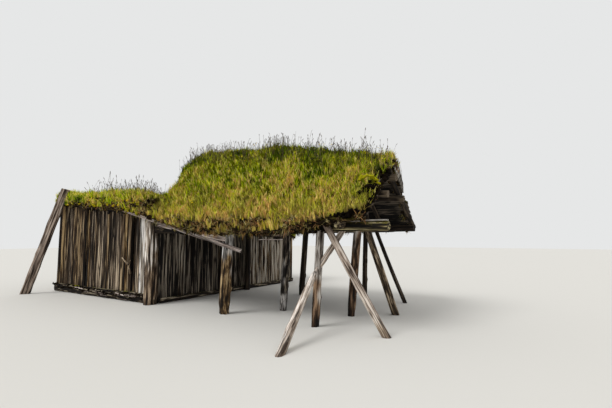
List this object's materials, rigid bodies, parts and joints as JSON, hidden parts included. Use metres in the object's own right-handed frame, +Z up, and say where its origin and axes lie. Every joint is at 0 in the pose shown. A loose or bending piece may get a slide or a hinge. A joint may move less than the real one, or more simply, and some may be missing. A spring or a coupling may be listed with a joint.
{
  "type": "turf house",
  "caption": "Low house of split timber slabs with a turf roof, and an open gabled turf roof on leaning round posts and raking props at one side.",
  "frame": {"origin": "on the ground, under the middle of the whole object's box", "axes": "+X along the front towards the open gable, +Y to the back, +Z up"},
  "size_m": [10.7863, 7.9934, 4.1074],
  "materials": {
    "bark_log": "weathered bark",
    "grey_log": "weathered, split",
    "dark_log": "weathered, dark",
    "mossy_log": "weathered, mossy",
    "pale_log": "bleached",
    "split_slabs": "split, weathered",
    "sill_timber": "rotten, dark",
    "sawn_board": "sawn, weathered",
    "roof_board": "sawn, dark",
    "turf": "grass and moss"
  },
  "bodies": {
    "root": {"corner_post": "bark_log", "post_front_left": "bark_log", "post_front_right": "grey_log", "post_mid_left": "grey_log", "post_mid_gable": "grey_log", "prop_gable_mid": "grey_log", "post_rear_left": "dark_log", "post_rear_right": "dark_log", "post_rear_wall": "dark_log", "tie_mid": "dark_log", "tie_inner": "dark_log", "tie_house": "dark_log", "king_gable": "dark_log", "king_mid": "dark_log", "king_inner": "dark_log", "king_house": "dark_log", "ridge_log": "dark_log", "purlin_front": "dark_log", "purlin_rear": "dark_log", "struts_front": "dark_log", "struts_rear": "dark_log", "rafters_front": "dark_log", "rafters_rear": "dark_log", "prop_gable_rear": "dark_log", "plate_rear": "dark_log", "house_poles": "dark_log", "plate_front": "mossy_log", "tie_gable": "mossy_log", "prop_gable_front": "pale_log", "prop_leaning": "pale_log", "wall_front": "split_slabs", "wall_porch_side": "split_slabs", "wall_back": "split_slabs", "wall_left": "split_slabs", "sill_front": "sill_timber", "sill_porch_side": "sill_timber", "sill_back": "sill_timber", "sill_left": "sill_timber", "knee_brace": "sawn_board", "eave_plank": "sawn_board", "corner_prop": "sawn_board", "barge_board": "sawn_board", "house_boards": "roof_board", "porch_boards_front": "roof_board", "porch_boards_rear": "roof_board", "house_turf": "turf", "porch_turf": "turf"}
  },
  "joints": []
}
